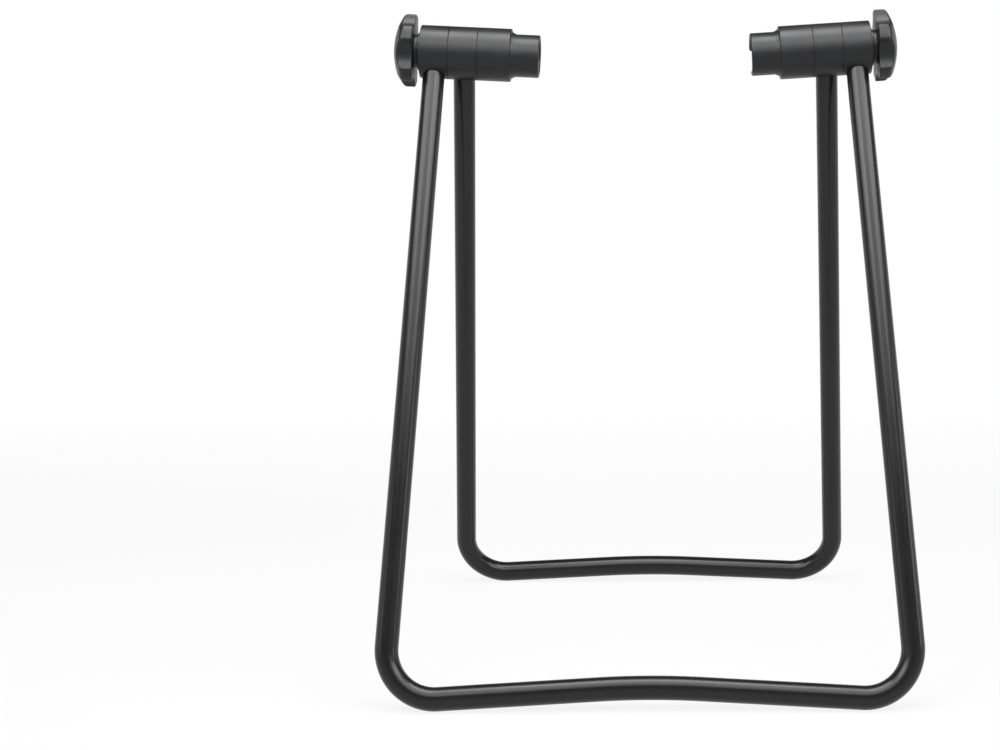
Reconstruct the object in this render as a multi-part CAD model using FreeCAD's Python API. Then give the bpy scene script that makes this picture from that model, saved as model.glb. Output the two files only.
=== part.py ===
import FreeCAD, Part
import math
import os

# Folding floor stand for a bicycle's wheel. Two bent tube frames cross at a pair of
# short barrels, and a hollow cup on the inner end of each barrel takes one end of the
# wheel's axle. Millimetres. X runs across the stand along the wheel's axle, the front
# frame is at -Y, +Z is up, and the origin is on the floor midway between the frames.

# Tube of both frames
tube_dia = 14.0
tube_wall = 1.2
corner_radius = 29.0
tube_past_axis = 9.0

# Stance of the open stand
pivot_height = 387.0
stance_angle = 21.0
splay_angle = 2.9
bar_slope = 3.2
crown_radius = 550.0

# Lengths along a barrel, from the middle of the stand outwards
half_hub_gap = 68.0
cup_length = 18.2
inner_ring_length = 21.2
middle_ring_length = 18.6
outer_ring_length = 18.4

# Rings of the barrel
ring_dia = 34.0
ring_edge = 0.4
socket_clearance = 0.1
socket_end_gap = 0.4

# Cup that holds the axle's end
cup_dia = 27.3
cup_bore_dia = 21.0
cup_bore_depth = 19.0
cup_mouth_round = 1.0
cup_lead_in = 1.2
shoulder_ledge = 1.9
shoulder_cone_length = 2.9
shoulder_edge = 0.8
notch_angle = 80.0
notch_depth = 12.0
notch_corner = 3.0
notch_below_level = 26.0

# Clamp bolt, its nut and the washer under the knob
bolt_dia = 7.9
bolt_bore_clearance = 0.25
tube_hole_clearance = 0.55
hex_across_flats = 13.0
hex_clearance = 0.15
bolt_head_height = 5.3
bolt_head_recess = 0.5
bolt_tip_chamfer = 0.8
bolt_past_nut = 2.0
bolt_end_gap = 1.2
nut_length = 8.0
nut_chamfer = 0.5
thread_clearance = 0.05
washer_dia = 24.0
washer_thickness = 1.6
washer_clearance = 0.25

# Star knob
knob_dia = 47.0
knob_lobes = 5
valley_radius = 12.6
valley_floor_dia = 35.0
lobe_corner_radius = 1.2
knob_boss_dia = 21.5
knob_boss_length = 2.3
knob_rim_length = 7.0
knob_dome_rise = 6.4
knob_face_round = 1.0
knob_back_round = 0.6
left_knob_turn = -10.3
right_knob_turn = -3.5

# How far a cutter runs past what it cuts, and how near two measures of an edge agree
past_cut = 1.0
same_place = 0.001

ACROSS = FreeCAD.Vector(1, 0, 0)
DEPTH = FreeCAD.Vector(0, 1, 0)
ORIGIN = FreeCAD.Vector(0, 0, 0)
LEFT, RIGHT = -1, 1
FRONT, REAR = -1, 1

tube_radius = tube_dia / 2
ring_radius = ring_dia / 2
splay = math.radians(splay_angle)
slope = math.radians(bar_slope)
stance = math.radians(stance_angle)

# Stations along the barrel's axis
mouth = half_hub_gap
shoulder = mouth + cup_length
inner_seam = shoulder + inner_ring_length
outer_seam = inner_seam + middle_ring_length
ring_end = outer_seam + outer_ring_length
boss_start = ring_end + washer_thickness
knob_back = boss_start + knob_boss_length
front_leg_station = (outer_seam + ring_end) / 2
rear_leg_station = (inner_seam + outer_seam) / 2

# A barrel is square to the legs that it holds, so its inner end droops
droop = math.atan(math.tan(splay) / math.cos(stance))
foot_reach = (pivot_height - tube_radius) * math.tan(stance)


def barrel_point(station):
    """Point on the right barrel's axis, measured from where that axis crosses the middle."""
    crossing_height = pivot_height - front_leg_station * math.sin(droop)
    return FreeCAD.Vector(station * math.cos(droop), 0, crossing_height + station * math.sin(droop))


def placed(shape, side):
    """Turns a shape made along +X onto the right barrel's axis, and mirrors it for the left."""
    shape = shape.copy()
    shape.Placement = FreeCAD.Placement(barrel_point(0), FreeCAD.Rotation(DEPTH, -math.degrees(droop)))
    return mirrored(shape) if side == LEFT else shape


def mirrored(shape):
    return shape.mirror(ORIGIN, ACROSS)


def rod(radius, start, end):
    """Round bar along +X between two stations."""
    return Part.makeCylinder(radius, end - start, FreeCAD.Vector(start, 0, 0), ACROSS)


def turned(profile):
    """Solid of revolution about X from (station, radius) corners. A corner with a third
    value is joined to the next by an arc of that radius, bulging away from the axis."""
    edges = []
    for here, after in zip(profile, profile[1:] + profile[:1]):
        start = FreeCAD.Vector(here[0], 0, here[1])
        end = FreeCAD.Vector(after[0], 0, after[1])
        if len(here) == 3:
            edges.append(Part.Arc(start, outward_middle(start, end, here[2]), end).toShape())
        else:
            edges.append(Part.makeLine(start, end))
    return Part.Face(Part.Wire(edges)).revolve(ORIGIN, ACROSS, 360)


def outward_middle(start, end, radius):
    """Middle of the arc of a given radius between two points, on the side away from X."""
    chord = end - start
    normal = FreeCAD.Vector(-chord.z, 0, chord.x).normalize()
    if normal.z < 0:
        normal = normal * -1
    half = chord.Length / 2
    return (start + end) * 0.5 + normal * (radius - math.sqrt(radius ** 2 - half ** 2))


def hexagon(across_flats, start, end):
    """Hexagonal bar along +X with a flat towards +Z."""
    corner = across_flats / math.sqrt(3)
    points = []
    for i in range(6):
        turn = math.radians(60 * i)
        points.append(FreeCAD.Vector(start, corner * math.cos(turn), corner * math.sin(turn)))
    face = Part.Face(Part.makePolygon(points + points[:1]))
    return face.extrude(ACROSS * (end - start))


def frame_pivot(which):
    """Where a frame's right leg meets its barrel's axis."""
    return barrel_point(front_leg_station if which == FRONT else rear_leg_station)


def frame_drop(which):
    """Unit vector down the frame's own plane. Both bottom bars stand equally far out."""
    fall = frame_pivot(which).z - tube_radius
    return FreeCAD.Vector(0, which * foot_reach, -fall).normalize()


def leg_direction(which):
    """Unit vector down the right leg."""
    return ACROSS * math.sin(splay) + frame_drop(which) * math.cos(splay)


def frame_path(which):
    """Centre line of a frame, from the left leg's top to the right leg's top: straight
    legs, round bottom corners, and a bar that rises to a gentle crown in the middle."""
    pivot = frame_pivot(which)
    lowest = math.hypot(foot_reach, pivot.z - tube_radius)
    corner_z = lowest - corner_radius
    corner_x = pivot.x + corner_z * math.tan(splay) - corner_radius / math.cos(splay)

    def corner_point(turn):
        """Point of the corner arc at an angle from straight across towards the floor."""
        return (corner_x + corner_radius * math.cos(turn), corner_z + corner_radius * math.sin(turn))

    leg_end, bar_end = -splay, math.pi / 2 + slope
    bar_x, bar_z = corner_point(bar_end)
    crown_x = crown_radius * math.sin(slope)
    crown_z = bar_z - (bar_x - crown_x) * math.tan(slope)
    top = (pivot.x - tube_past_axis * math.sin(splay), -tube_past_axis * math.cos(splay))
    half = [top, corner_point(leg_end), corner_point((leg_end + bar_end) / 2), (bar_x, bar_z),
            (crown_x, crown_z)]
    crown = (0, crown_z - crown_radius * (1 - math.cos(slope)))
    across_frame = [(-x, z) for x, z in half] + [crown] + half[::-1]
    axis_point = FreeCAD.Vector(0, 0, pivot.z)
    drop = frame_drop(which)
    return [axis_point + ACROSS * x + drop * z for x, z in across_frame]


def path_wire(points):
    """Wire through a frame's points: line, arc, line, arc, line, arc, line."""
    line = Part.makeLine
    edges = [line(points[0], points[1]),
             Part.Arc(points[1], points[2], points[3]).toShape(),
             line(points[3], points[4]),
             Part.Arc(points[4], points[5], points[6]).toShape(),
             line(points[6], points[7]),
             Part.Arc(points[7], points[8], points[9]).toShape(),
             line(points[9], points[10])]
    return Part.Wire(edges)


def swept(wire, radius):
    start = wire.OrderedVertexes[0].Point
    section = Part.Wire(Part.makeCircle(radius, start, wire.OrderedEdges[0].tangentAt(0)))
    return wire.makePipeShell([section], True, False)


def tube_frame(which):
    """One bent tube, open at both ends and cross drilled near them for the clamp bolts."""
    wire = path_wire(frame_path(which))
    tube = swept(wire, tube_radius).cut(swept(wire, tube_radius - tube_wall))
    station = front_leg_station if which == FRONT else rear_leg_station
    hole = rod(bolt_dia / 2 + tube_hole_clearance, station - tube_dia, station + tube_dia)
    return tube.cut([placed(hole, LEFT), placed(hole, RIGHT)])


def leg_socket(which, side):
    """Round hole for a leg's end, open downwards through the ring's wall."""
    direction = leg_direction(which)
    start = frame_pivot(which) - direction * (tube_past_axis + socket_end_gap)
    radius = tube_radius + socket_clearance
    socket = Part.makeCylinder(radius, tube_past_axis + ring_dia, start, direction)
    return mirrored(socket) if side == LEFT else socket


def bolt_bore(start, end):
    return rod(bolt_dia / 2 + bolt_bore_clearance, start, end)


def leg_ring(which, side, start, end):
    """Ring of the barrel that carries one leg."""
    body = turned([(start, 0), (start, ring_radius - ring_edge), (start + ring_edge, ring_radius),
                   (end - ring_edge, ring_radius), (end, ring_radius - ring_edge), (end, 0)])
    body = placed(body.cut(bolt_bore(start - past_cut, end + past_cut)), side)
    return body.cut(leg_socket(which, side))


def outer_ring(side):
    return leg_ring(FRONT, side, outer_seam, ring_end)


def middle_ring(side):
    return leg_ring(REAR, side, inner_seam, outer_seam)


def lever_notch():
    """Sector cut from the rear of a cup's mouth for the arm of a quick release lever."""
    inner, outer = cup_bore_dia / 4, cup_dia
    start, end = mouth - cup_length, mouth + notch_depth
    corners = [(start, inner), (end, inner), (end, outer), (start, outer), (start, inner)]
    face = Part.Face(Part.makePolygon([FreeCAD.Vector(s, r, 0) for s, r in corners]))
    sector = face.revolve(ORIGIN, ACROSS, notch_angle)
    inner_corners = [edge for edge in sector.Edges if is_notch_corner(edge, end, outer - inner)]
    sector = sector.makeFillet(notch_corner, inner_corners)
    sector.rotate(ORIGIN, ACROSS, -notch_below_level - notch_angle / 2)
    return sector


def is_notch_corner(edge, station, length):
    """True for a straight edge that points away from the axis at the notch's floor."""
    middle = edge.CenterOfMass
    return abs(middle.x - station) < same_place and abs(edge.Length - length) < same_place


def hub_cup(side):
    """Inner end of the barrel in one moulding: a ring, a stepped shoulder and the cup.
    A hexagonal pocket in the cup's floor keeps the clamp bolt from turning."""
    cup_radius = cup_dia / 2
    bore_radius = cup_bore_dia / 2
    ledge_radius = ring_radius - shoulder_ledge
    floor = mouth + cup_bore_depth
    body = turned([
        (inner_seam, 0), (inner_seam, ring_radius - ring_edge), (inner_seam - ring_edge, ring_radius),
        (shoulder + shoulder_edge, ring_radius), (shoulder, ring_radius - shoulder_edge),
        (shoulder, ledge_radius), (shoulder - shoulder_cone_length, cup_radius),
        (mouth + cup_mouth_round, cup_radius, cup_mouth_round), (mouth, cup_radius - cup_mouth_round),
        (mouth, bore_radius + cup_lead_in), (mouth + cup_lead_in, bore_radius),
        (floor, bore_radius), (floor, 0)])
    pocket_depth = bolt_head_height + bolt_head_recess
    pocket = hexagon(hex_across_flats + 2 * hex_clearance, floor - past_cut, floor + pocket_depth)
    body = body.cut([pocket, bolt_bore(floor, inner_seam + past_cut)])
    if side == RIGHT:
        body = body.cut(lever_notch())
    return placed(body, side)


def bolt_head_seat():
    return mouth + cup_bore_depth + bolt_head_recess + bolt_head_height


def nut_start():
    """The nut lies flush with the end of the knob's boss."""
    return boss_start


def bolt_end():
    return nut_start() + nut_length + bolt_past_nut


def clamp_bolt(side):
    """Hexagon bolt that ties a barrel together, head in the cup and tip in the knob."""
    seat = bolt_head_seat()
    end = bolt_end()
    radius = bolt_dia / 2
    corner_radius_of_head = hex_across_flats / math.sqrt(3)
    head = hexagon(hex_across_flats, seat - bolt_head_height, seat)
    crown_drop = corner_radius_of_head - hex_across_flats / 2
    head = head.common(turned([
        (seat, 0), (seat, corner_radius_of_head),
        (seat - bolt_head_height + crown_drop / 2, corner_radius_of_head),
        (seat - bolt_head_height, hex_across_flats / 2), (seat - bolt_head_height, 0)]))
    root = seat - bolt_head_height / 2
    shank = turned([(root, 0), (root, radius), (end - bolt_tip_chamfer, radius),
                    (end, radius - bolt_tip_chamfer), (end, 0)])
    return placed(head.fuse(shank).removeSplitter(), side)


def thrust_washer(side):
    washer = rod(washer_dia / 2, ring_end, boss_start)
    hole = rod(bolt_dia / 2 + washer_clearance, ring_end - past_cut, boss_start + past_cut)
    return placed(washer.cut(hole), side)


def knob_nut(side):
    """Hexagon nut moulded into the back of the star knob."""
    start = nut_start()
    end = start + nut_length
    corner = hex_across_flats / math.sqrt(3)
    body = hexagon(hex_across_flats, start, end).common(turned([
        (start, 0), (start, corner - nut_chamfer), (start + nut_chamfer, corner),
        (end - nut_chamfer, corner), (end, corner - nut_chamfer), (end, 0)]))
    thread = rod(bolt_dia / 2 + thread_clearance, start - past_cut, end + past_cut)
    return placed(body.cut(thread), side)


def star_prism(start, end):
    """Five lobed bar: a round bar with a round valley between each pair of lobes."""
    valley_centre = valley_floor_dia / 2 + valley_radius
    star = rod(knob_dia / 2, start, end)
    for i in range(knob_lobes):
        turn = 2 * math.pi * (i + 0.5) / knob_lobes
        centre = FreeCAD.Vector(start - past_cut, -valley_centre * math.sin(turn),
                                valley_centre * math.cos(turn))
        valley = Part.makeCylinder(valley_radius, end - start + 2 * past_cut, centre, ACROSS)
        star = star.cut(valley)
    corners = [edge for edge in star.Edges if edge.Vertexes and runs_along_barrel(edge)]
    return star.makeFillet(lobe_corner_radius, corners)


def runs_along_barrel(edge):
    if len(edge.Vertexes) < 2:
        return False
    span = edge.Vertexes[1].Point - edge.Vertexes[0].Point
    sideways = math.hypot(span.y, span.z)
    from_axis = math.hypot(edge.CenterOfMass.y, edge.CenterOfMass.z)
    return sideways < same_place and from_axis > valley_floor_dia / 2


def star_knob(side):
    """Moulded knob: a flat backed star under a low dome, with a boss on its back that
    holds the nut and a blind hole for the bolt's tip."""
    rim_end = knob_back + knob_rim_length
    apex = rim_end + knob_dome_rise
    radius = knob_dia / 2
    dome_radius = (radius ** 2 + knob_dome_rise ** 2) / (2 * knob_dome_rise)
    star = star_prism(knob_back, apex + past_cut)
    cap = turned([(knob_back, 0), (knob_back, radius + past_cut), (rim_end, radius + past_cut),
                  (rim_end, radius, dome_radius), (apex, 0)])
    knob = star.common(cap)
    face_edges = [edge for edge in knob.Edges if edge.CenterOfMass.x > rim_end - same_place
                  and math.hypot(edge.CenterOfMass.y, edge.CenterOfMass.z) > knob_boss_dia / 2]
    knob = knob.makeFillet(knob_face_round, face_edges)
    back_edges = [edge for edge in knob.Edges if abs(edge.CenterOfMass.x - knob_back) < same_place]
    knob = knob.makeFillet(knob_back_round, back_edges)
    knob = knob.fuse(rod(knob_boss_dia / 2, boss_start, knob_back + past_cut)).removeSplitter()
    pocket = hexagon(hex_across_flats, boss_start, nut_start() + nut_length)
    tip_hole = bolt_bore(boss_start, bolt_end() + bolt_end_gap)
    knob = knob.cut([pocket, tip_hole])
    knob.rotate(ORIGIN, ACROSS, left_knob_turn if side == LEFT else right_knob_turn)
    return placed(knob, side)


def save(name, shape):
    solids = shape.Solids
    assert len(solids) == 1 and solids[0].isValid(), name
    solids[0].exportStep(os.path.join("parts", name + ".step"))
    print(name, "volume", round(solids[0].Volume, 1))


def main():
    os.makedirs("parts", exist_ok=True)
    save("front_frame", tube_frame(FRONT))
    save("rear_frame", tube_frame(REAR))
    for side, word in ((LEFT, "left"), (RIGHT, "right")):
        save("outer_ring_" + word, outer_ring(side))
        save("middle_ring_" + word, middle_ring(side))
        save("hub_cup_" + word, hub_cup(side))
        save("clamp_bolt_" + word, clamp_bolt(side))
        save("thrust_washer_" + word, thrust_washer(side))
        save("star_knob_" + word, star_knob(side))
        save("knob_nut_" + word, knob_nut(side))


main()
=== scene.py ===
import math

import bmesh
import bpy
import numpy as np
from mathutils import Matrix, Vector


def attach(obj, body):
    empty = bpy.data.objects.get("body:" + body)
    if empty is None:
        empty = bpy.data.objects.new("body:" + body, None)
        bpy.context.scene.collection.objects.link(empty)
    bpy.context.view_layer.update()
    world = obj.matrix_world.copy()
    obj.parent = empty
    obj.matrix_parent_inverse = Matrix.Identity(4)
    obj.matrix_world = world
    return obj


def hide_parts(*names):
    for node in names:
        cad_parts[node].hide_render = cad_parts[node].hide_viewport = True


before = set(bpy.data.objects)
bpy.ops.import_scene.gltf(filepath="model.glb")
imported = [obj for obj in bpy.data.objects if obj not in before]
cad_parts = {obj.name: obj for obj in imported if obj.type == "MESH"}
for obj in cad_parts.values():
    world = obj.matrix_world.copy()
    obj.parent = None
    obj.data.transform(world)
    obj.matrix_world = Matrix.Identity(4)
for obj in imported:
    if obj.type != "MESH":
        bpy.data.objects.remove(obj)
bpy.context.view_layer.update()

# Tube frames
# Two lengths of round steel tube, each bent to a U with splayed legs, round corners and a
# bar along the floor that rises to a crown. They are powder coated a satin black.
MM = 0.001
RIGHT, LEFT = 1, -1
FRONT, REAR = -1, 1
ACROSS = np.array([1.0, 0.0, 0.0])
REARWARDS = np.array([0.0, 1.0, 0.0])
tube_radius, tube_wall = 7.0, 1.2
tube_end_round = 0.3
tube_past_axis = 9.0
corner_radius = 29.0
corner_flattening = 0.012
flattened_from, flattened_to = 0.35, 1.2
pivot_height = 387.0
stance = math.radians(21.0)
splay = math.radians(2.9)
bar_slope = math.radians(3.2)
crown_radius = 550.0

# Every length is in millimetres. A station is a length along a barrel's axis, counted
# outwards from the stand's middle.
leg_stations = {FRONT: 135.2, REAR: 116.7}

# The leg's evenly spaced rows keep these lengths from its end and from the corner. The
# bar's rows keep this share of its length from the corner and from the crown.
leg_rows, corner_rows, bar_rows, crown_rows = 34, 44, 16, 14
end_row_gap, corner_row_gap, bar_row_gap = 1.0, 0.5, 0.02
tube_columns = 64
round_rows = 5

# A barrel is square to the legs that it holds, so its inner end droops.
droop = math.atan(math.tan(splay) / math.cos(stance))
foot_reach = (pivot_height - tube_radius) * math.tan(stance)
barrel_outwards = np.array([math.cos(droop), 0.0, math.sin(droop)])
barrel_upwards = np.array([-math.sin(droop), 0.0, math.cos(droop)])
barrel_start = np.array([0.0, 0.0, pivot_height - leg_stations[FRONT] * math.sin(droop)])

# Points nearer than this are welded, and edges sharper than this stay crisp.
weld_distance = 0.002
sharp_from = math.radians(38)


class Value:
    """A shader socket that can be added to, taken from and multiplied."""

    def __init__(self, tree, socket=None):
        self.tree = tree
        self.socket = socket

    def node(self, kind, settings=(), sockets=(), output=0):
        """Adds a node of a type: its settings first, then a number or a link for each
        named or numbered socket. Gives back the chosen output."""
        made = self.tree.nodes.new("ShaderNode" + kind)
        for name, setting in dict(settings).items():
            setattr(made, name, setting)
        for name, value in dict(sockets).items():
            if isinstance(value, Value):
                self.tree.links.new(value.socket, made.inputs[name])
            else:
                made.inputs[name].default_value = value
        return Value(self.tree, made.outputs[output] if len(made.outputs) else None)

    def maths(self, operation, first, second):
        return self.node("Math", {"operation": operation}, {0: first, 1: second})

    def __add__(self, other):
        return self.maths("ADD", self, other)

    __radd__ = __add__

    def __mul__(self, other):
        return self.maths("MULTIPLY", self, other)

    __rmul__ = __mul__

    def __sub__(self, other):
        return self.maths("SUBTRACT", self, other)

    def __rsub__(self, other):
        return self.maths("SUBTRACT", other, self)


def new_material(name):
    """An empty material, and a start from which its nodes are added."""
    made = bpy.data.materials.new(name)
    made.use_nodes = True
    made.node_tree.nodes.clear()
    return made, Value(made.node_tree)


def grain(start, size, detail):
    """Noise from 0 to 1 whose lumps are about a given size in millimetres."""
    place = start.node("TexCoord", output="Object")
    return start.node("TexNoise", (), {"Vector": place, "Scale": 1 / (size * MM), "Detail": detail})


def between(start, share, dark, light):
    """A colour that goes from one to another as a value goes from 0 to 1. The node's colour
    sockets are numbers 6 and 7, and its colour output is number 2."""
    return start.node("Mix", {"data_type": "RGBA"}, {0: share, 6: (*dark, 1), 7: (*light, 1)}, output=2)


def relief(start, height, depth):
    """Surface normal of a height from 0 to 1 that stands for a depth in millimetres."""
    return start.node("Bump", (), {"Strength": 1.0, "Distance": depth * MM, "Height": height})


def skin(start, colour, roughness, normal, **plain):
    """The material's surface. Plain numbers are set on the sockets of their names."""
    sockets = {"Base Color": colour, "Roughness": roughness, "Normal": normal}
    sockets.update({name.replace("_", " "): value for name, value in plain.items()})
    surface = start.node("BsdfPrincipled", (), sockets)
    start.node("OutputMaterial", (), {"Surface": surface})


def sheet(points, wrap_rows=False, wrap_columns=False):
    """Corners and four sided faces of a grid of points, rows by columns by xyz. Each face
    joins a point, the next in its row, and the two below them."""
    rows, columns = points.shape[:2]
    index = np.arange(rows * columns).reshape(rows, columns)
    if wrap_rows:
        index = np.concatenate([index, index[:1]])
    if wrap_columns:
        index = np.concatenate([index, index[:, :1]], axis=1)
    faces = np.stack([index[:-1, :-1], index[:-1, 1:], index[1:, 1:], index[1:, :-1]], axis=-1)
    return points.reshape(-1, 3), faces.reshape(-1, 4)


def new_piece(name, sheets, material, body):
    """One piece of the stand from grids given in millimetres, in the place of the CAD node
    of its name. Points that meet are welded, which closes the seams and the poles, and
    the faces are turned outwards."""
    corners, faces, count = [], [], 0
    for points, quads in sheets:
        corners.append(points * MM)
        faces.append(quads + count)
        count += len(points)
    mesh = bpy.data.meshes.new(name)
    mesh.from_pydata(np.concatenate(corners), [], np.concatenate(faces).tolist())
    shell = bmesh.new()
    shell.from_mesh(mesh)
    bmesh.ops.remove_doubles(shell, verts=shell.verts, dist=weld_distance * MM)
    bmesh.ops.recalc_face_normals(shell, faces=shell.faces)
    shell.to_mesh(mesh)
    shell.free()
    mesh.polygons.foreach_set("use_smooth", np.ones(len(mesh.polygons), bool))
    mesh.set_sharp_from_angle(angle=sharp_from)
    mesh.materials.append(material)
    made = bpy.data.objects.new(name + "_skin", mesh)
    bpy.context.scene.collection.objects.link(made)
    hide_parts(name)
    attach(made, body)


def end_round(radius, steps=round_rows):
    """Quarter circle that rounds a square edge, as (way back from one side, way in from the
    other): the radius less its sine and its cosine part."""
    turn = np.linspace(0, math.pi / 2, steps)
    return radius * (1 - np.sin(turn)), radius * (1 - np.cos(turn))


def frame_plane(which):
    """A frame's right pivot, the way down in the frame's own plane, and how far down it the
    lowest part of the centre line lies."""
    pivot = barrel_start + leg_stations[which] * barrel_outwards
    drop = np.array([0.0, which * foot_reach, tube_radius - pivot[2]])
    lowest = np.linalg.norm(drop)
    return pivot, drop / lowest, lowest


def half_line(pivot_x, lowest):
    """Right half of a frame's centre line in its own plane: down the leg, round the corner's
    arc, along the bar, and over the crown's arc to the middle. Gives five values for each
    row: its way across, its way down the plane, its turn, how far the tube's end is
    rounded there, and its share of the corner's flattening."""
    corner_z = lowest - corner_radius
    corner_x = pivot_x + corner_z * math.tan(splay) - corner_radius / math.cos(splay)
    leg_length = corner_z / math.cos(splay) - corner_radius * math.tan(splay)
    back, inwards = end_round(tube_end_round)
    down_leg = np.concatenate([
        back[::-1] - tube_past_axis,
        np.linspace(end_row_gap - tube_past_axis, leg_length - corner_row_gap, leg_rows)])
    leg = (pivot_x + down_leg * math.sin(splay), down_leg * math.cos(splay),
           np.full(len(down_leg), -splay))
    corner_turn = np.linspace(-splay, math.pi / 2 + bar_slope, corner_rows)
    corner = (corner_x + corner_radius * np.cos(corner_turn),
              corner_z + corner_radius * np.sin(corner_turn), corner_turn)
    bar_x, bar_z = corner[0][-1], corner[1][-1]
    crown_x = crown_radius * math.sin(bar_slope)
    crown_z = bar_z - (bar_x - crown_x) * math.tan(bar_slope)
    share = np.linspace(bar_row_gap, 1 - bar_row_gap, bar_rows)
    bar = (bar_x + (crown_x - bar_x) * share, bar_z + (crown_z - bar_z) * share,
           np.full(bar_rows, math.pi / 2 + bar_slope))
    lean = np.linspace(bar_slope, 0, crown_rows)
    crown = (crown_radius * np.sin(lean), crown_z + crown_radius * (math.cos(bar_slope) - np.cos(lean)),
             math.pi / 2 + lean)
    x, z, turn = (np.concatenate(part) for part in zip(leg, corner, bar, crown))
    trim, flattened = np.zeros(len(x)), np.zeros(len(x))
    trim[:round_rows] = inwards[::-1]
    flattened[len(down_leg):len(down_leg) + corner_rows] = np.interp(
        corner_turn, [-splay, flattened_from, flattened_to, math.pi / 2], [0, 1, 1, 0])
    return x, z, turn, trim, flattened


def frame_skin(which):
    """Tube swept along a frame's centre line, whose left half mirrors the right. A point of
    the skin is the line's point, plus the radius times the cosine of its turn along the
    way out of the bend, plus the radius times the sine along the plane's normal. The
    radius is a little less across the bend in the corners, where the tube flattened. The
    bore is the same line at a smaller radius."""
    pivot, drop, lowest = frame_plane(which)
    x, z, turn, trim, flattened = half_line(pivot[0], lowest)
    halves = zip((x, z, turn, trim, flattened), (-x, z, math.pi - turn, trim, flattened))
    x, z, turn, trim, flattened = (np.concatenate([right, left[-2::-1]]) for right, left in halves)
    line = np.array([0, 0, pivot[2]]) + x[:, None] * ACROSS + z[:, None] * drop
    out_of_bend = np.cos(turn)[:, None] * ACROSS + np.sin(turn)[:, None] * drop
    normal = np.cross(ACROSS, drop)
    across_bend = (1 - corner_flattening * flattened)[:, None, None]
    round_turn = np.linspace(0, 2 * math.pi, tube_columns, endpoint=False)[None, :, None]

    def wall(radius):
        """The skin at a radius, which may change along the line."""
        radius = radius[:, None, None]
        return (line[:, None] + radius * across_bend * np.cos(round_turn) * out_of_bend[:, None]
                + radius * np.sin(round_turn) * normal)

    outside = wall(tube_radius - trim)
    inside = wall(tube_radius - tube_wall + trim)
    return [sheet(np.concatenate([outside, inside[::-1]]), wrap_rows=True, wrap_columns=True)]


# The coat is a smooth dark film with a faint orange peel and slow changes of gloss.
coat_dark, coat_light = (0.0035, 0.0035, 0.0039), (0.0060, 0.0060, 0.0065)
coat_roughness, coat_roughness_change = 0.23, 0.08
coat_patch_size = 30
peel_size, peel_depth = 1.6, 0.012

# Both blacks reflect a little less than a plain plastic does.
black_specular = 0.35
powder_coat, start = new_material("satin_black_powder_coat")
peel = grain(start, peel_size, detail=1.5)
patches = grain(start, coat_patch_size, detail=3)
skin(start, between(start, patches, coat_dark, coat_light),
     coat_roughness + coat_roughness_change * patches, relief(start, peel, peel_depth),
     Specular_IOR_Level=black_specular)

new_piece("front_frame", frame_skin(FRONT), powder_coat, "front_stand")
new_piece("rear_frame", frame_skin(REAR), powder_coat, "rear_stand")


# Leg rings
# Moulded rings of black plastic. The outer one is pushed onto the front frame's leg and
# the middle one onto the rear frame's, each through a round socket in its wall.
inner_seam, outer_seam, ring_end = 107.4, 126.0, 144.4
ring_radius, ring_edge = 17.0, 0.4
bolt_bore_radius = 4.2
socket_radius, socket_floor = 7.1, 12.5
socket_rim_round = 0.4

# A row at this distance from a rounded edge keeps the rounding tight. The rows of the
# patch round a socket crowd towards it by this power.
edge_support = 0.15
ring_rows, patch_rows, socket_rim_rows = 11, 11, 5
patch_crowding = 1.4
column_turn = math.radians(2.5)
socket_columns = 15
sides = (("left", LEFT), ("right", RIGHT))


def on_barrel(points, side):
    """Carries points from a barrel's own directions (outwards along its axis, rearwards,
    upwards) to the stand's. The left barrel is the mirror image of the right."""
    placed = (barrel_start + points[..., :1] * barrel_outwards + points[..., 1:2] * REARWARDS
              + points[..., 2:] * barrel_upwards)
    placed[..., 0] *= side
    return placed


def round_axis(station, radius, turns):
    """Points at a station along the barrel's axis: the radius times the cosine and the sine
    of a turn, counted from the rear towards the top."""
    return np.stack(np.broadcast_arrays(station, radius * np.cos(turns), radius * np.sin(turns)), axis=-1)


def turned(profile, turns):
    """Surface of revolution: each (station, radius) of a profile is carried round the
    barrel's axis through the turns."""
    station, radius = np.array(profile, float).T[:, :, None]
    return round_axis(station, radius, turns)


def rounded_corner(corner, before, after, radius, steps=6):
    """Quarter circle that rounds a square corner of a profile. Before and after point from
    the corner along its two sides."""
    first, second = (way[:, None] for way in end_round(radius, steps))
    return np.array(corner) + first * np.array(before) + second * np.array(after)


def parabola(first, corner, last, share):
    """Points on the parabola that leaves its first point towards a corner and reaches its
    last point from there: the first by the square of what is left of the share, the
    corner by twice the share times what is left, and the last by the share squared."""
    return (1 - share) ** 2 * first + 2 * share * (1 - share) * corner + share ** 2 * last


def leg_turn(which):
    """Turn of a leg about the barrel's axis, from the rear towards the top."""
    drop = frame_plane(which)[1]
    leg = ACROSS * math.sin(splay) + drop * math.cos(splay)
    return math.atan2(leg @ barrel_upwards, leg @ REARWARDS)


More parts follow.
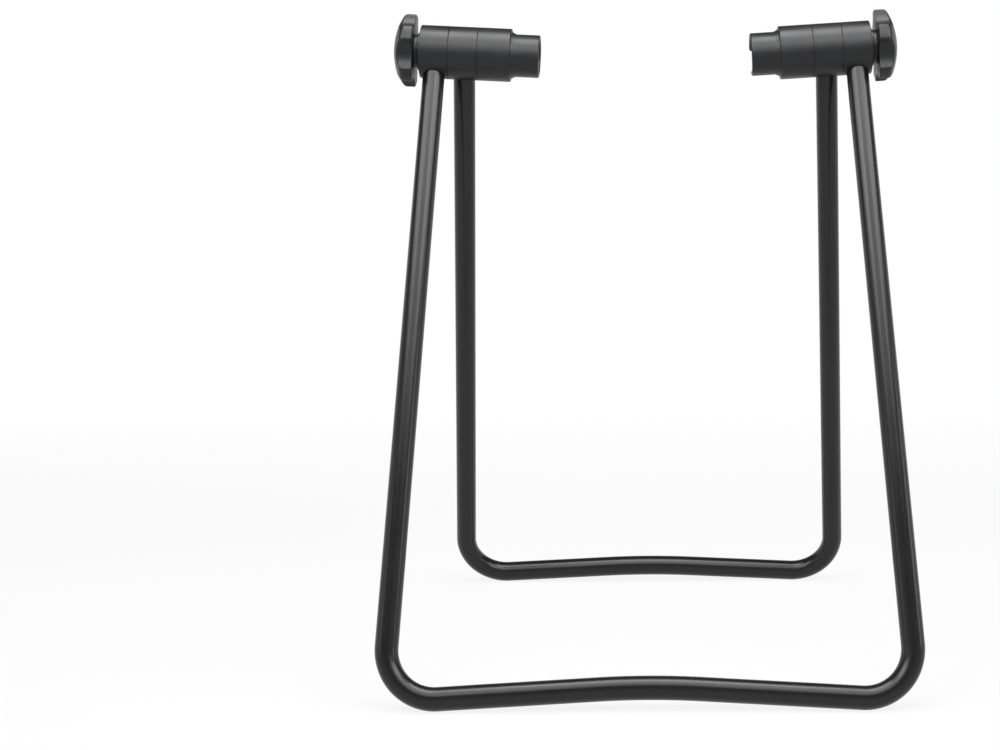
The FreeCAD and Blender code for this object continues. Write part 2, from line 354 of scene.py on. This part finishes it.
def leg_ring(first_station, last_station, which, side):
    """Ring with a leg's socket. Its ends, rounded edges and bore are turned. The wall is
    turned too, but for a window round the socket. The window is a patch between a
    rectangle and a circle: a point of it is a share of the way between them, measured on
    the rolled out wall. The circle's edge is rounded by a parabola into the socket."""
    leg = leg_turn(which)
    middle = (first_station + last_station) / 2
    inwards, along, against = (0, -1), (1, 0), (-1, 0)
    first_end = np.concatenate([
        [(first_station, bolt_bore_radius), (first_station, ring_radius - ring_edge - edge_support)],
        rounded_corner((first_station, ring_radius), inwards, along, ring_edge)])
    last_end = np.concatenate([
        rounded_corner((last_station, ring_radius), against, inwards, ring_edge),
        [(last_station, ring_radius - ring_edge - edge_support), (last_station, bolt_bore_radius)]])
    bore = [(last_station, bolt_bore_radius), (first_station, bolt_bore_radius)]
    columns = round(2 * math.pi / column_turn)
    all_round = leg + column_turn * np.arange(columns)
    first_wall, last_wall = first_station + ring_edge, last_station - ring_edge
    rows = np.concatenate([[first_wall],
                           np.linspace(first_wall + edge_support, last_wall - edge_support, ring_rows),
                           [last_wall]])
    beside = leg + column_turn * np.arange(socket_columns, columns - socket_columns + 1)
    window = column_turn * np.arange(-socket_columns, socket_columns + 1)
    up_rows, over_columns = np.ones(len(rows) - 1), np.ones(len(window) - 1)
    loop_station = np.concatenate([rows[:-1], rows[-1] * over_columns,
                                   rows[:0:-1], rows[0] * over_columns])
    loop_turn = np.concatenate([window[0] * up_rows, window[:-1],
                                window[-1] * up_rows, window[:0:-1]])
    heading = np.arctan2(loop_turn / window[-1], (loop_station - middle) / (last_wall - middle))

    # A circle drilled along the leg meets the wall at this station and turn.
    rim_radius = socket_radius + socket_rim_round
    rim_station = middle + rim_radius * np.cos(heading)
    rim_turn = np.arcsin(rim_radius * np.sin(heading) / ring_radius)
    share = np.linspace(0, 1, patch_rows)[:, None] ** patch_crowding
    patch_station = rim_station + (loop_station - rim_station) * share
    patch_turn = leg + rim_turn + (loop_turn - rim_turn) * share
    patch = round_axis(patch_station, ring_radius, patch_turn)
    down_leg = np.array([0, math.cos(leg), math.sin(leg)])
    beside_leg = np.array([0, -math.sin(leg), math.cos(leg)])

    def in_socket(radius, depth):
        """Points round the socket's axis, at a distance from the barrel's axis."""
        return (np.array([middle, 0, 0]) + radius * np.cos(heading)[:, None] * ACROSS
                + radius * np.sin(heading)[:, None] * beside_leg + depth[:, None] * down_leg)

    edge_depth = np.sqrt(ring_radius ** 2 - (socket_radius * np.sin(heading)) ** 2)
    floor_depth = np.full(len(heading), socket_floor)
    rim = parabola(patch[0], in_socket(socket_radius, edge_depth),
                   in_socket(socket_radius, edge_depth - socket_rim_round),
                   np.linspace(0, 1, socket_rim_rows + 1)[1:, None, None])
    socket = [in_socket(socket_radius, floor_depth), in_socket(0, floor_depth)]
    grids = [(turned(first_end, all_round), True),
             (turned([(station, ring_radius) for station in rows], beside), False),
             (np.concatenate([patch[::-1], rim, socket]), True),
             (turned(last_end, all_round), True),
             (turned(bore, all_round), True)]
    return [sheet(on_barrel(points, side), wrap_columns=closed) for points, closed in grids]


plastic_dark, plastic_light = (0.0034, 0.0036, 0.0043), (0.0054, 0.0057, 0.0068)
plastic_roughness, plastic_roughness_change = 0.31, 0.16
plastic_patch_size = 18
texture_size, texture_depth = 0.42, 0.022


def moulded_plastic(name):
    """Black plastic with the fine even texture of its mould, a little glossier in places."""
    made, start = new_material(name)
    texture = grain(start, texture_size, detail=1)
    patches = grain(start, plastic_patch_size, detail=2)
    skin(start, between(start, patches, plastic_dark, plastic_light),
         plastic_roughness + plastic_roughness_change * patches, relief(start, texture, texture_depth),
         Specular_IOR_Level=black_specular)
    return made


ring_plastic = moulded_plastic("ring_plastic")
for word, side in sides:
    new_piece("outer_ring_" + word, leg_ring(outer_seam, ring_end, FRONT, side), ring_plastic,
              "front_stand")
    new_piece("middle_ring_" + word, leg_ring(inner_seam, outer_seam, REAR, side), ring_plastic,
              word + "_middle_ring")


# Hub cups
# The inner end of each barrel is one moulding: a ring, a stepped shoulder and a hollow cup
# for the axle's end. The right cup has a notch at the rear for a quick release lever.
mouth, shoulder = 68.0, 86.2
cup_radius, cup_bore_radius = 13.65, 10.5
cup_floor = 87.0
cup_mouth_round, cup_lead_in = 1.0, 1.2
shoulder_cone_length, ledge_radius = 2.9, 15.1
shoulder_edge = 0.8
pocket_floor = 92.8
hex_pocket_across = 13.3
notch_half_angle = math.radians(40)
notch_depth = 12.0
notch_corner, notch_mouth_corner = 3.0, 1.4
notch_round = 0.35

# The notch's middle is turned this far from the rear, so it lies a little below it. Down
# the walls, the columns spread evenly again up to this reach from the notch's middle.
notch_turn = math.radians(-26)
notch_reach = math.radians(66)

# Rows this far back and in from the shoulder's edges keep them crisp.
cone_end_step = (0.1, 0.05)

# Points along half of the mouth's edge, then rows round its lip and down its walls. The
# walls' rows crowd towards the lip by this power.
plain_mouth_columns = 73
notch_floor_columns, notch_corner_columns, notch_side_columns, notched_mouth_columns = 6, 9, 8, 61
lip_rows, cup_wall_rows = 7, 18
wall_crowding = 1.2


def hexagon_radius(across_flats, turns):
    """Distance from the axis to a hexagon's outline, with a flat towards the top: half the
    width across flats over the cosine of the turn from the nearest flat's middle."""
    sixth = math.pi / 3
    from_flat = np.mod(turns - math.pi / 2 + sixth / 2, sixth) - sixth / 2
    return across_flats / 2 / np.cos(from_flat)


def outline_rows(stations, radii, turns):
    """Rows of points at given stations. The station or the radius may change round a row."""
    return np.stack([round_axis(station, radius, turns) for station, radius in zip(stations, radii)])


def stretch(way, station, into_way, into_station, inside):
    """Part of a mouth's edge, as five rows of equal length: a single number is repeated."""
    return np.stack(np.broadcast_arrays(way, station, into_way, into_station, inside))


def mouth_edge(notched):
    """Edge of a cup's mouth on the rolled out wall: way round in millimetres and station,
    the way from each point into the wall, and how far it is into the notch, from 0 to 1.
    A notched edge is made of lines and arcs: the notch's floor, a round corner, its side,
    a small round corner, and the mouth. It is half of the edge, and the rest mirrors it."""
    half_round = math.pi * cup_radius
    if not notched:
        return stretch(np.linspace(0, half_round, plain_mouth_columns), mouth, 0, 1, 0)
    half_width = notch_half_angle * cup_radius
    notch_floor = mouth + notch_depth
    bend = np.linspace(0, math.pi / 2, notch_corner_columns)
    across, up = np.sin(bend), np.cos(bend)
    floor_way = np.linspace(0, half_width - notch_corner, notch_floor_columns, endpoint=False)
    side_station = np.linspace(notch_floor - notch_corner, mouth + notch_mouth_corner,
                               notch_side_columns + 2)[1:-1]
    mouth_way = np.linspace(half_width + notch_mouth_corner, half_round, notched_mouth_columns + 1)[1:]
    return np.concatenate([
        stretch(floor_way, notch_floor, 0, 1, 1),
        stretch(half_width - notch_corner * (1 - across), notch_floor - notch_corner * (1 - up),
                across, up, 1),
        stretch(half_width, side_station, 1, 0, 1),
        stretch(half_width + notch_mouth_corner * (1 - up), mouth + notch_mouth_corner * (1 - across),
                up, across, up ** 2),
        stretch(mouth_way, mouth, 0, 1, 0)], axis=1)


def hub_cup(side):
    """Cup, shoulder and ring. From the mouth's edge a quarter circle rounds the lip outwards
    and another inwards: each row moves the edge into the wall by its radius less the sine
    part, and changes the distance from the axis by the cosine part. Below the lip the
    walls run straight down to the shoulder and to the cup's floor. The rest is turned."""
    notched = side == RIGHT
    way, station, into_way, into_station, inside = mouth_edge(notched)
    turn = way / cup_radius
    foot_turn = turn
    if notched:
        last = np.searchsorted(turn, notch_reach)
        foot_turn = np.concatenate([np.linspace(0, turn[last], last + 1), turn[last + 1:]])

    def whole(half, sign=1):
        """The half edge and its mirror image, once round."""
        return np.concatenate([half, sign * half[-2:0:-1]])

    station, into_way = whole(station), whole(into_way, -1)
    into_station, inside = whole(into_station), whole(inside)
    edge_turn, foot_turn = notch_turn + whole(turn, -1), notch_turn + whole(foot_turn, -1)
    outer_round = cup_mouth_round + (notch_round - cup_mouth_round) * inside
    inner_round = cup_lead_in + (notch_round - cup_lead_in) * inside

    def lip_row(radius, moved):
        """The mouth's edge moved into the wall, at a distance from the axis."""
        turns = edge_turn + into_way * moved / cup_radius
        return round_axis(station + into_station * moved, radius, turns)

    def straight_down(top, radius, foot_station):
        """Rows from a lip's row to a level foot, each a share of the way down the wall."""
        top_turn, top_station = edge_turn + into_way * top / cup_radius, station + into_station * top
        share = np.linspace(0, 1, cup_wall_rows)[1:, None] ** wall_crowding
        return round_axis(top_station + (foot_station - top_station) * share, radius,
                          top_turn + (foot_turn - top_turn) * share)

    bend = np.linspace(0, math.pi / 2, lip_rows)[:, None]
    back, over = 1 - np.sin(bend), 1 - np.cos(bend)
    outer_lip = lip_row(cup_radius - outer_round * over, outer_round * back)
    inner_lip = lip_row(cup_bore_radius + inner_round * back, inner_round * over)
    rim = np.stack([outer_lip[-1], inner_lip[0]])
    outside = straight_down(outer_round, cup_radius, shoulder - shoulder_cone_length)
    bore = straight_down(inner_round, cup_bore_radius, cup_floor)
    inwards, along, against = (0, -1), (1, 0), (-1, 0)
    step_back, step_in = cone_end_step
    shoulder_rows = turned(np.concatenate([
        [(shoulder - shoulder_cone_length, cup_radius), (shoulder - step_back, ledge_radius - step_in),
         (shoulder, ledge_radius), (shoulder, ring_radius - shoulder_edge - step_in)],
        rounded_corner((shoulder, ring_radius), inwards, along, shoulder_edge),
        [(shoulder + shoulder_edge + edge_support, ring_radius),
         (inner_seam - ring_edge - edge_support, ring_radius)],
        rounded_corner((inner_seam, ring_radius), against, inwards, ring_edge),
        [(inner_seam, ring_radius - ring_edge - edge_support), (inner_seam, bolt_bore_radius),
         (pocket_floor, bolt_bore_radius)]]), foot_turn)
    hexagon = hexagon_radius(hex_pocket_across, foot_turn)
    pocket_rows = outline_rows([pocket_floor, pocket_floor, cup_floor, cup_floor],
                               [bolt_bore_radius, hexagon, hexagon, cup_bore_radius], foot_turn)
    grids = [np.concatenate([outer_lip[:1], outside]), outer_lip, rim, inner_lip,
             np.concatenate([inner_lip[-1:], bore]), shoulder_rows, pocket_rows]
    return [sheet(on_barrel(points, side), wrap_columns=True) for points in grids]


for word, side in sides:
    new_piece("hub_cup_" + word, hub_cup(side), ring_plastic, word + "_hub_cup")


# Clamp bolts
# A hexagon headed steel bolt, zinc plated black, runs through each barrel and both legs.
# Its head sits in the cup's floor, and its thread runs into the knob's nut.
bolt_head_top, bolt_end = 87.5, 156.0
head_across = 13.0
head_chamfer, head_face_inset = 0.5, 0.2
plain_radius = 3.95
thread_major, thread_minor = 3.95, 3.33
thread_pitch = 1.25
thread_start = 128.0

# The triangle wave is stretched, lowered by the root's flat and cut off at the crest. The
# thread fades in and out over these numbers of pitches.
thread_stretch, thread_root_flat = 1.25, 0.1
fade_in_pitches, fade_out_pitches = 2, 1.5

# The thread tapers towards the tip, whose face is smaller than the thread's root.
tip_length, tip_taper, tip_inset = 0.6, 0.35, 0.4
rows_per_pitch = 12
bolt_columns = 96

# The plating is dark and slightly streaked.
plating_dark, plating_light = (0.030, 0.030, 0.031), (0.060, 0.060, 0.063)
plating_roughness, plating_roughness_change = 0.34, 0.16
streak_size, streak_depth = 2.4, 0.008
plated_steel, start = new_material("black_zinc_plated_steel")
streaks = grain(start, streak_size, detail=3)
skin(start, between(start, streaks, plating_dark, plating_light),
     plating_roughness + plating_roughness_change * streaks, relief(start, streaks, streak_depth),
     Metallic=1.0)


def clamp_bolt(side):
    """Head, plain shank and thread. The head's outline is a hexagon, cut by a cone at the
    top. The thread's radius is a triangle wave of the station over the pitch less the turn
    over a whole turn, so that its ridge climbs by one pitch a turn, right handed on both
    sides of the stand. It fades in from the plain shank and out into the pointed tip."""
    turns = np.linspace(0, 2 * math.pi, bolt_columns, endpoint=False) + math.pi / 2
    corner = hexagon_radius(head_across, turns)
    face_radius = head_across / 2 - head_face_inset
    cut = head_chamfer * (corner - face_radius) / (corner.max() - face_radius)
    head = outline_rows([bolt_head_top, bolt_head_top, bolt_head_top + cut, pocket_floor, pocket_floor],
                        [0, face_radius, corner, corner, plain_radius], turns)
    thread_end = bolt_end - tip_length
    stations = np.arange(thread_start, thread_end, thread_pitch / rows_per_pitch)
    phase = np.mod(stations[:, None] / thread_pitch - side * turns / (2 * math.pi), 1)
    ridge = np.clip(thread_stretch * np.abs(2 * phase - 1) - thread_root_flat, 0, 1)
    fade = np.clip((stations - thread_start) / (fade_in_pitches * thread_pitch), 0, 1)[:, None]
    ease = np.clip((thread_end - stations) / (fade_out_pitches * thread_pitch), 0, 1)[:, None]
    depth = (thread_major - thread_minor) * (1 - ridge) * fade * ease
    radius = thread_major - depth - tip_taper * (1 - ease)
    thread = round_axis(stations[:, None], radius, turns)
    shank = outline_rows([pocket_floor, thread_start], [plain_radius, plain_radius], turns)
    shank[-1] = thread[0]
    tip = outline_rows([bolt_end, bolt_end], [thread_minor - tip_inset, 0], turns)
    grids = [head, shank, thread, np.concatenate([thread[-1:], tip])]
    return [sheet(on_barrel(points, side), wrap_columns=True) for points in grids]


for word, side in sides:
    new_piece("clamp_bolt_" + word, clamp_bolt(side), plated_steel, word + "_hub_cup")


# Thrust washers
# A flat steel washer with tumbled edges lies under each knob. It is plated like the bolt,
# and moves in and out with the knob.
washer_radius, washer_bore_radius = 12.0, 4.2
washer_end = 146.0
washer_edge = 0.25
washer_columns = 120


def thrust_washer(side):
    """Ring of rectangular section with its four edges rounded, turned about the axis."""
    turns = np.linspace(0, 2 * math.pi, washer_columns, endpoint=False)
    inwards, outwards, along, against = (0, -1), (0, 1), (1, 0), (-1, 0)
    section = np.concatenate([
        rounded_corner((ring_end, washer_bore_radius), along, outwards, washer_edge),
        rounded_corner((ring_end, washer_radius), inwards, along, washer_edge),
        rounded_corner((washer_end, washer_radius), against, inwards, washer_edge),
        rounded_corner((washer_end, washer_bore_radius), outwards, against, washer_edge)])
    return [sheet(on_barrel(turned(section, turns), side), wrap_rows=True, wrap_columns=True)]


for word, side in sides:
    new_piece("thrust_washer_" + word, thrust_washer(side), plated_steel,
              word + "_washer")


# Star knobs
# Each knob is a five lobed moulding of black plastic with a low dome, a flat back, and a
# boss that holds the nut.
lobes = 5
knob_radius = 23.5
valley_radius, valley_floor_radius = 12.6, 17.5
lobe_corner_radius = 1.2
knob_back, knob_rim_end = 148.3, 155.3
knob_dome_rise = 6.4
knob_face_round, knob_back_round = 2.0, 0.6
boss_radius, boss_edge = 10.75, 0.4
nut_across, nut_end, tip_hole_end = 13.0, 154.0, 157.2

# Each knob's first lobe is turned this far from the top.
knob_turns = {LEFT: math.radians(-10.3), RIGHT: math.radians(-3.5)}

# The dome's rows are these shares of the face's outline. The back's rows are these shares
# of the way from the boss to the star.
half_lobe_columns, fewest_columns = 26, 4
knob_wall_rows, face_edge_rows = 6, 8
dome_shares = (0.992, 0.94, 0.86, 0.77, 0.68, 0.59, 0.5, 0.41, 0.32, 0.23, 0.14, 0.06, 0)
back_shares = (0, 0.04, 0.3, 0.6, 0.9, 0.985)


def on_circle(turn):
    """Points of a circle of radius 1, as two numbers each."""
    return np.stack([np.cos(turn), np.sin(turn)], axis=-1)


def half_lobe():
    """Outline of half a lobe, from its middle to the valley's: an arc about the knob's axis,
    a corner arc tangent to it, and the valley's arc tangent to that. Gives each point as
    two numbers, and the way straight out of the knob there."""
    half = math.pi / lobes
    valley = (valley_floor_radius + valley_radius) * on_circle(half)
    to_corner = knob_radius - lobe_corner_radius
    to_valley = np.linalg.norm(valley)
    reach = valley_radius + lobe_corner_radius
    between_them = math.acos((to_corner ** 2 + to_valley ** 2 - reach ** 2) / (2 * to_corner * to_valley))
    lean = half - between_them
    corner = to_corner * on_circle(lean)
    heading = math.atan2(*(valley - corner)[::-1])
    lengths = np.array([knob_radius * lean, lobe_corner_radius * (heading - lean),
                        valley_radius * (heading - half)])
    counts = np.maximum(fewest_columns, np.round(half_lobe_columns * lengths / lengths.sum())).astype(int)
    counts[1] = half_lobe_columns - counts[0] - counts[2]
    rim_turn = np.linspace(0, lean, counts[0], endpoint=False)
    corner_turn = np.linspace(lean, heading, counts[1], endpoint=False)
    valley_turn = np.linspace(heading, half, counts[2] + 1)
    points = np.concatenate([knob_radius * on_circle(rim_turn),
                             corner + lobe_corner_radius * on_circle(corner_turn),
                             valley - valley_radius * on_circle(valley_turn)])
    return points, on_circle(np.concatenate([rim_turn, corner_turn, valley_turn]))


def star_outline(first):
    """The whole outline and its ways out: a half lobe and its mirror image, turned round
    once for each lobe, from the turn of the first."""
    points, ways = half_lobe()
    mirror = np.array([1, -1])
    one = np.concatenate([points[:0:-1] * mirror, points[:-1]])
    one_way = np.concatenate([ways[:0:-1] * mirror, ways[:-1]])
    turn = first + 2 * math.pi / lobes * np.arange(lobes)
    spin = np.stack([on_circle(turn), on_circle(turn + math.pi / 2)], axis=1)
    return (one @ spin).reshape(-1, 2), (one_way @ spin).reshape(-1, 2)


def star_knob(side):
    """Star under a dome. The side wall is the outline, up to the dome's height above each of
    its points. The face's edge is a parabola from the wall to the dome, and the back's a
    quarter circle. The dome is a ball's cap: its rows shrink the outline to the middle, at
    the height of the cap there. The back's rows go from the boss's circle to the star."""
    outline, out = star_outline(math.pi / 2 + knob_turns[side])
    ball = (knob_radius ** 2 + knob_dome_rise ** 2) / (2 * knob_dome_rise)

    def row(flat, station):
        return np.concatenate([station + 0 * flat[:, :1], flat], axis=1)

    def on_dome(flat):
        """The cap's height over a point: the ball's radius squared less the distance from
        the axis squared, rooted, from where the ball's centre lies."""
        distance = np.sum(flat ** 2, axis=1, keepdims=True)
        return row(flat, knob_rim_end + knob_dome_rise - ball + np.sqrt(ball ** 2 - distance))

    back_edge = np.stack([row(outline - out * inset, knob_back + height)
                          for inset, height in zip(*end_round(knob_back_round))])
    top_edge = on_dome(outline)
    wall_top = top_edge - knob_face_round * ACROSS
    share = np.linspace(0, 1, knob_wall_rows + 2)[1:-1, None, None]
    wall = back_edge[-1] + (wall_top - back_edge[-1]) * share
    face_outline = outline * (1 - knob_face_round / knob_radius)
    face_edge = parabola(wall_top, top_edge, on_dome(face_outline),
                         np.linspace(0, 1, face_edge_rows)[:, None, None])
    dome = np.stack([on_dome(face_outline * part) for part in dome_shares])
    angle = np.arctan2(outline[:, 1], outline[:, 0])
    circle = on_circle(angle)
    foot = circle * (boss_radius + boss_edge)
    back_outline = outline - out * knob_back_round
    back = np.stack([row(foot + (back_outline - foot) * part, knob_back) for part in back_shares])
    boss_root = np.stack([row(circle * (boss_radius + beyond), knob_back - below)
                          for below, beyond in zip(*end_round(boss_edge))])
    boss_rim = np.stack([row(circle * (boss_radius - inset), washer_end + height)
                         for inset, height in zip(*end_round(boss_edge))])
    hexagon = hexagon_radius(nut_across, angle)[:, None]
    core = np.stack([row(circle * 0, tip_hole_end), row(circle * bolt_bore_radius, tip_hole_end),
                     row(circle * bolt_bore_radius, nut_end), row(circle * hexagon, nut_end),
                     row(circle * hexagon, washer_end)])
    grids = [np.concatenate([core, boss_rim, boss_root]), back,
             np.concatenate([back[-1:], back_edge, wall, face_edge, dome])]
    return [sheet(on_barrel(points, side), wrap_columns=True) for points in grids]


knob_plastic = moulded_plastic("knob_plastic")
for word, side in sides:
    new_piece("star_knob_" + word, star_knob(side), knob_plastic, word + "_knob")


# Knob nuts
# The plated hexagon nut moulded into each knob, which runs on the bolt's thread. Its flat
# end lies flush in the boss.
for word, side in sides:
    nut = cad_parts["knob_nut_" + word]
    nut.data.materials.clear()
    nut.data.materials.append(plated_steel)


# Floor and studio
# A pale round floor turns up into a low pale wall all round, in one sheet. Soft lamps hang
# over the stand and round it. The world is a dim even grey.
floor_radius = 2400
wall_round, wall_height = 500, 1050
floor_colour = (0.48, 0.48, 0.48)
rim_rows, rim_columns = 16, 128
world_strength = 0.12

# The floor's share of pure white where it is seen, and where that share changes.
white_behind, white_under, white_in_front = 1.0, 0.88, 0.62
front_from, front_full = -330, -900
behind_from, behind_full = 300, 900

# The rim is a quarter circle and an upright, turned once round. The floor is one flat face.
quarter = np.linspace(0, math.pi / 2, rim_rows)
rim_reach = np.append(floor_radius + wall_round * np.sin(quarter), floor_radius + wall_round)
rim_height = np.append(wall_round * (1 - np.cos(quarter)), wall_height)
round_turns = np.linspace(0, 2 * math.pi, rim_columns, endpoint=False)
rim_points = np.stack([rim_reach[:, None] * np.cos(round_turns), rim_reach[:, None] * np.sin(round_turns),
                       rim_height[:, None] + 0 * round_turns], axis=-1)
rim_corners, rim_faces = sheet(rim_points, wrap_columns=True)
floor_mesh = bpy.data.meshes.new("floor")
floor_mesh.from_pydata(rim_corners * MM, [], rim_faces.tolist() + [list(range(rim_columns))])
floor_mesh.polygons.foreach_set("use_smooth", np.arange(len(floor_mesh.polygons)) < len(rim_faces))


def rise(value, low, high):
    """Climbs evenly from 0 at one place to 1 at another, and stays flat outside them."""
    return value.node("MapRange", (), {"Value": value, "From Min": low * MM, "From Max": high * MM})


# The camera, a reflection and a clear piece see a share of white, and lamps light a grey.
floor_material, start = new_material("pale_floor")
seen = (start.node("LightPath", output="Is Camera Ray") + start.node("LightPath", output="Is Glossy Ray")
        + start.node("LightPath", output="Is Transmission Ray"))
rearwards = start.node("SeparateXYZ", (), {"Vector": start.node("TexCoord", output="Object")}, output="Y")
white_share = (white_under + rise(rearwards, behind_from, behind_full) * (white_behind - white_under)
               - rise(rearwards, front_from, front_full) * (white_under - white_in_front))
lit = start.node("BsdfDiffuse", (), {"Color": (*floor_colour, 1)})
white = start.node("Emission", (), {"Color": (1, 1, 1, 1), "Strength": 1.0})
mixed = start.node("MixShader", (), {0: seen * white_share, 1: lit, 2: white})
start.node("OutputMaterial", (), {"Surface": mixed})
floor_mesh.materials.append(floor_material)
floor = bpy.data.objects.new("floor", floor_mesh)
bpy.context.scene.collection.objects.link(floor)

world = bpy.data.worlds.new("studio")
bpy.context.scene.world = world
world.use_nodes = True
world.node_tree.nodes["Background"].inputs["Color"].default_value = (1, 1, 1, 1)
world.node_tree.nodes["Background"].inputs["Strength"].default_value = world_strength


def soft_lamp(name, place, aim, width, height, radiance):
    """A rectangular lamp at a place, aimed at a point. Its radiance is the brightness of
    its face, so its power grows with its size."""
    data = bpy.data.lights.new(name, "AREA")
    data.shape = "RECTANGLE"
    data.size, data.size_y = width * MM, height * MM
    data.energy = radiance * math.pi * data.size * data.size_y
    lamp = bpy.data.objects.new(name, data)
    heading = (Vector(aim) - Vector(place)).to_track_quat("-Z", "Y")
    lamp.matrix_world = Matrix.Translation(Vector(place) * MM) @ heading.to_matrix().to_4x4()
    lamp.visible_camera = False
    bpy.context.scene.collection.objects.link(lamp)


# Each lamp's name, place, aim, width, height and radiance.
soft_lamp("overhead_lamp", (0, -95, 1050), (0, -95, 0), 760, 400, 9.8)
soft_lamp("upper_front_lamp", (0, -400, 850), (0, 0, 390), 620, 250, 4.7)
soft_lamp("lower_front_lamp", (0, -600, 710), (0, -60, 240), 620, 360, 3.0)
soft_lamp("left_lamp", (-770, -620, 1040), (0, -40, 260), 950, 460, 7.5)
soft_lamp("right_lamp", (800, -560, 1020), (0, -40, 260), 1000, 500, 7.5)
soft_lamp("left_edge_lamp", (-1300, -600, 420), (0, -130, 95), 500, 420, 1.2)
soft_lamp("right_edge_lamp", (1350, -330, 420), (0, -130, 95), 280, 420, 4.2)


# Camera
# The stand is seen from just over a metre in front, a little below the level of its barrels.
# The picture holds the stand right of its middle, which the shift repeats.
picture_width, picture_height = 1000, 750
sensor_width = 36
focal_length_px = 1716
straight_ahead_px = (620.8, 300)
camera_place = (1.5, -1115.4, 334.9)
camera_heading, camera_tilt, camera_roll = 0.951, -5.604, 0.516
camera_data = bpy.data.cameras.new("camera")
camera_data.sensor_width = sensor_width
camera_data.lens = focal_length_px / picture_width * sensor_width
camera_data.shift_x = (picture_width / 2 - straight_ahead_px[0]) / picture_width
camera_data.shift_y = (straight_ahead_px[1] - picture_height / 2) / picture_width
camera = bpy.data.objects.new("camera", camera_data)
bpy.context.scene.collection.objects.link(camera)
bpy.context.scene.camera = camera

# A camera that isn't turned looks straight down, so the tilt is added to a right angle.
camera.matrix_world = (
    Matrix.Translation(Vector(camera_place) * MM)
    @ Matrix.Rotation(math.radians(camera_heading), 4, "Z")
    @ Matrix.Rotation(math.radians(90 + camera_tilt), 4, "X")
    @ Matrix.Rotation(math.radians(-camera_roll), 4, "Z")
)
bpy.context.scene.view_settings.view_transform = "Standard"
